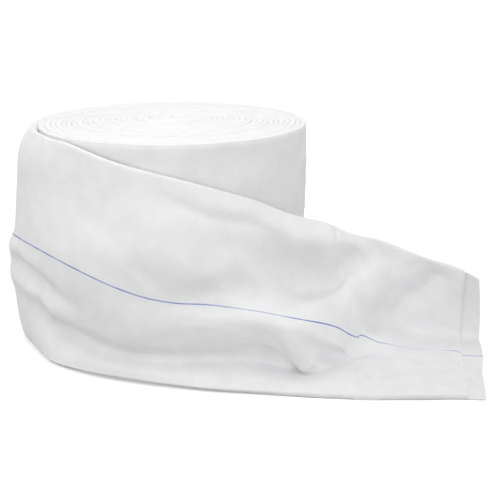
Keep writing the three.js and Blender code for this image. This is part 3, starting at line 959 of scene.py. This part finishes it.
@dataclass(frozen=True)
class NonwovenFinish:
    """Matt white nonwoven over soft padding."""

    name: str = "nonwoven_web"
    white: Colour = (0.858, 0.858, 0.864, 1.0)
    shade: Colour = (0.797, 0.80, 0.808, 1.0)
    roughness: float = 0.92
    specular: float = 0.2
    sheen: float = 0.15
    sheen_roughness: float = 0.6
    thread: Thread = Thread()

    def grain_group(self) -> Tree:
        """The group that makes the fibre grain, with its sockets.

        Returns:
            The node group.
        """
        tree, come, go = new_group("Nonwoven Grain", {"Fibre Scale": 900.0}, ("Height", "Tone"))
        fibres = add_node(tree, "TexNoise", {"Detail": 4.0, "Roughness": 0.65})
        stretch = add_node(tree, "VectorMath", {1: (0.45, 1.0, 1.0)}, operation="MULTIPLY")
        clouds = add_node(tree, "TexNoise", {"Scale": 55.0, "Detail": 3.0})
        mix = add_node(tree, "Math", operation="MULTIPLY")
        connect(
            tree,
            (come, "Vector", stretch, 0), (stretch, 0, fibres, "Vector"),
            (come, "Fibre Scale", fibres, "Scale"), (come, "Vector", clouds, "Vector"),
            (fibres, "Fac", go, "Height"), (fibres, "Fac", mix, 0), (clouds, "Fac", mix, 1),
            (mix, 0, go, "Tone"),
        )
        return tree

    def thread_group(self) -> Tree:
        """The group that marks where the blue line lies, with its sockets.

        Returns:
            The node group.
        """
        thread = self.thread
        tree, come, go = new_group(
            "Marker Line", {"Across": thread.across, "Half Width": thread.half_width}, ("Mask",)
        )
        apart = add_node(tree, "SeparateXYZ")
        offset = add_node(tree, "Math", operation="SUBTRACT")
        distance = add_node(tree, "Math", operation="ABSOLUTE")
        share = add_node(tree, "Math", operation="DIVIDE")
        edge = add_node(
            tree, "MapRange", {"From Min": 1.25, "From Max": 0.6}, interpolation_type="SMOOTHSTEP"
        )
        worn = add_node(tree, "TexNoise", {"Scale": 60.0, "Detail": 3.0})
        wear = add_node(tree, "MapRange", {"From Min": 0.35, "From Max": 0.6, "To Min": 0.6})
        both = add_node(tree, "Math", operation="MULTIPLY")
        weight = add_node(tree, "ValToRGB")
        stops = weight.color_ramp.elements
        stops.remove(stops[1])
        for number, (place, level) in enumerate(thread.weights):
            stop = stops.new(place) if number else stops[0]
            stop.position = place
            stop.color = (level, level, level, 1.0)
        weighed = add_node(tree, "Math", operation="MULTIPLY")
        connect(
            tree,
            (come, "Vector", apart, 0), (apart, "Y", offset, 0), (come, "Across", offset, 1),
            (offset, 0, distance, 0), (distance, 0, share, 0), (come, "Half Width", share, 1),
            (share, 0, edge, "Value"), (come, "Vector", worn, "Vector"), (worn, "Fac", wear, "Value"),
            (edge, "Result", both, 0), (wear, "Result", both, 1), (apart, "X", weight, "Fac"),
            (both, 0, weighed, 0), (weight, "Color", weighed, 1), (weighed, 0, go, "Mask"),
        )
        return tree

    def material(self) -> bpy.types.Material:
        """Builds the material.

        Returns:
            The material, reading the piece's own UV map.
        """
        material = bpy.data.materials.new(self.name)
        material.use_nodes = True
        tree = material.node_tree
        shader = tree.nodes["Principled BSDF"]
        set_inputs(shader, {
            "Roughness": self.roughness, "Specular IOR Level": self.specular,
            "Sheen Weight": self.sheen, "Sheen Roughness": self.sheen_roughness,
        })
        places = add_node(tree, "UVMap", uv_map="UVMap")
        grain = add_node(tree, "Group", node_tree=self.grain_group())
        line = add_node(tree, "Group", node_tree=self.thread_group())
        cloth = add_node(tree, "Mix", {"A": self.shade, "B": self.white}, data_type="RGBA")
        contrast = add_node(tree, "MapRange", {"From Min": 0.15, "From Max": 0.35})
        dyed = add_node(tree, "Mix", {"B": self.thread.colour}, data_type="RGBA")
        bump = add_node(tree, "Bump", {"Strength": 0.35, "Distance": 0.0003})
        connect(
            tree,
            (places, "UV", grain, "Vector"), (places, "UV", line, "Vector"),
            (grain, "Tone", contrast, "Value"), (contrast, "Result", cloth, "Factor"),
            (cloth, "Result", dyed, "A"), (line, "Mask", dyed, "Factor"),
            (dyed, "Result", shader, "Base Color"), (grain, "Height", bump, "Height"),
            (bump, "Normal", shader, "Normal"),
        )
        return material


@dataclass(frozen=True)
class Lamp:
    """A square lamp near the object, in metres and watts."""

    name: str
    place: Point
    aim: Point
    size: float
    power: float


@dataclass
class Studio:
    """A pale floor, soft light from all round, two lamps, and the camera at the photograph's angle.

    floor_seen, floor_glow and sky_seen are for what the camera sees itself. floor_cast, sky_high, sky_rise
    and sky_fall are for the light that reaches the object.
    """

    camera_place: Point = (0.072, -1.0, 0.357)
    camera_pitch: float = 15.7
    lens: float = 78.3
    floor_size: float = 80.0
    floor_seen: Colour = (0.97, 0.97, 0.97, 1.0)
    floor_cast: Colour = (0.5, 0.5, 0.5, 1.0)
    floor_glow: float = 0.35
    floor_drop: float = 0.0003
    sky_high: float = 0.70
    sky_rise: float = 1.51
    sky_fall: float = 4.0
    sky_seen: float = 1.0
    lamps: tuple[Lamp, ...] = (
        Lamp("lamp_over_the_roll", (0.0, -0.02, 0.7), (0.0, 0.0, 0.2), 0.35, 0.7),
        Lamp("lamp_in_front", (-0.1, -0.45, 0.6), (0.0, 0.0, 0.1), 0.3, 0.58),
    )

    def floor(self) -> None:
        """Adds the floor, just under the object."""
        bpy.ops.mesh.primitive_plane_add(size=self.floor_size, location=(0, 0, -self.floor_drop))
        floor = bpy.context.active_object
        floor.name = "studio_floor"
        paint = bpy.data.materials.new("floor_paper")
        paint.use_nodes = True
        tree = paint.node_tree
        shader = tree.nodes["Principled BSDF"]
        set_inputs(shader, {"Roughness": 0.9, "Specular IOR Level": 0.0, "Emission Color": WHITE})
        path = add_node(tree, "LightPath")
        tone = add_node(tree, "Mix", {"A": self.floor_cast, "B": self.floor_seen}, data_type="RGBA")
        glow = add_node(tree, "Math", {1: self.floor_glow}, operation="MULTIPLY")
        connect(
            tree,
            (path, "Is Camera Ray", tone, "Factor"), (tone, "Result", shader, "Base Color"),
            (path, "Is Camera Ray", glow, 0), (glow, "Value", shader, "Emission Strength"),
        )
        floor.data.materials.append(paint)

    def world(self) -> None:
        """Sets a white surround that is brighter toward the horizon."""
        world = bpy.data.worlds.new("studio_world")
        world.use_nodes = True
        tree = world.node_tree
        background = tree.nodes["Background"]
        set_inputs(background, {"Color": WHITE})
        direction = add_node(tree, "TexCoord")
        height = add_node(tree, "SeparateXYZ")
        depth = add_node(tree, "Math", {0: 1.0}, operation="SUBTRACT", use_clamp=True)
        fall = add_node(tree, "Math", {1: self.sky_fall}, operation="POWER")
        sky = add_node(tree, "Math", {1: self.sky_rise, 2: self.sky_high}, operation="MULTIPLY_ADD")
        path = add_node(tree, "LightPath")
        seen = add_node(tree, "Mix", {"B": self.sky_seen}, data_type="FLOAT")
        connect(
            tree,
            (direction, "Generated", height, "Vector"), (height, "Z", depth, 1), (depth, "Value", fall, 0),
            (fall, "Value", sky, 0), (path, "Is Camera Ray", seen, "Factor"), (sky, "Value", seen, "A"),
            (seen, "Result", background, "Strength"),
        )
        bpy.context.scene.world = world

    def light(self, lamp: Lamp) -> None:
        """Adds one lamp.

        Args:
            lamp: Where it stands, where it points, and how large and bright it is.
        """
        data = bpy.data.lights.new(lamp.name, "AREA")
        data.energy = lamp.power
        data.size = lamp.size
        holder = bpy.data.objects.new(lamp.name, data)
        bpy.context.scene.collection.objects.link(holder)
        holder.location = lamp.place
        toward = np.array(lamp.aim) - np.array(lamp.place)
        pitch = math.atan2(math.hypot(toward[0], toward[1]), -toward[2])
        heading = math.atan2(toward[1], toward[0]) - math.pi / 2
        holder.rotation_euler = (pitch, 0.0, heading)

    def camera(self) -> None:
        """Adds the camera and makes it the scene's."""
        data = bpy.data.cameras.new("studio_camera")
        data.lens = self.lens
        data.sensor_width = 36.0
        camera = bpy.data.objects.new("studio_camera", data)
        bpy.context.scene.collection.objects.link(camera)
        camera.location = self.camera_place
        camera.rotation_euler = (math.radians(90 - self.camera_pitch), 0.0, 0.0)
        bpy.context.scene.camera = camera

    def build(self) -> None:
        """Sets up the whole studio."""
        self.floor()
        self.world()
        for lamp in self.lamps:
            self.light(lamp)
        self.camera()
        bpy.context.scene.view_settings.view_transform = "Standard"


def dress(piece: bpy.types.Object, material: bpy.types.Material, node: str) -> None:
    """Gives a piece its finish and ties it to the frame.

    Args:
        piece: The finished piece.
        material: Its material.
        node: The solid that it stands for.
    """
    piece.data.materials.clear()
    piece.data.materials.append(material)
    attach(piece, BODY)
    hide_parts(node)
    LOG.info("%s: %d faces, stands for %s", piece.name, len(piece.data.polygons), node)


def main() -> None:
    """Builds the object and its studio."""
    logging.basicConfig(level=logging.INFO, format="%(name)s: %(message)s")
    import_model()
    web = Web()
    material = NonwovenFinish().material()
    roll = WoundRoll(web)
    wound = roll.build()
    dress(wound, material, "wound_roll")
    roll.length * MM
    loose = LooseEnd(web)
    cloth = loose.build()
    dress(cloth, material, "loose_end")
    loose.length * MM
    LOG.info("web: %.2f m wound, %.2f m loose", roll.length * MM, loose.length * MM)
    Studio().build()


if __name__ == "__main__":
    main()
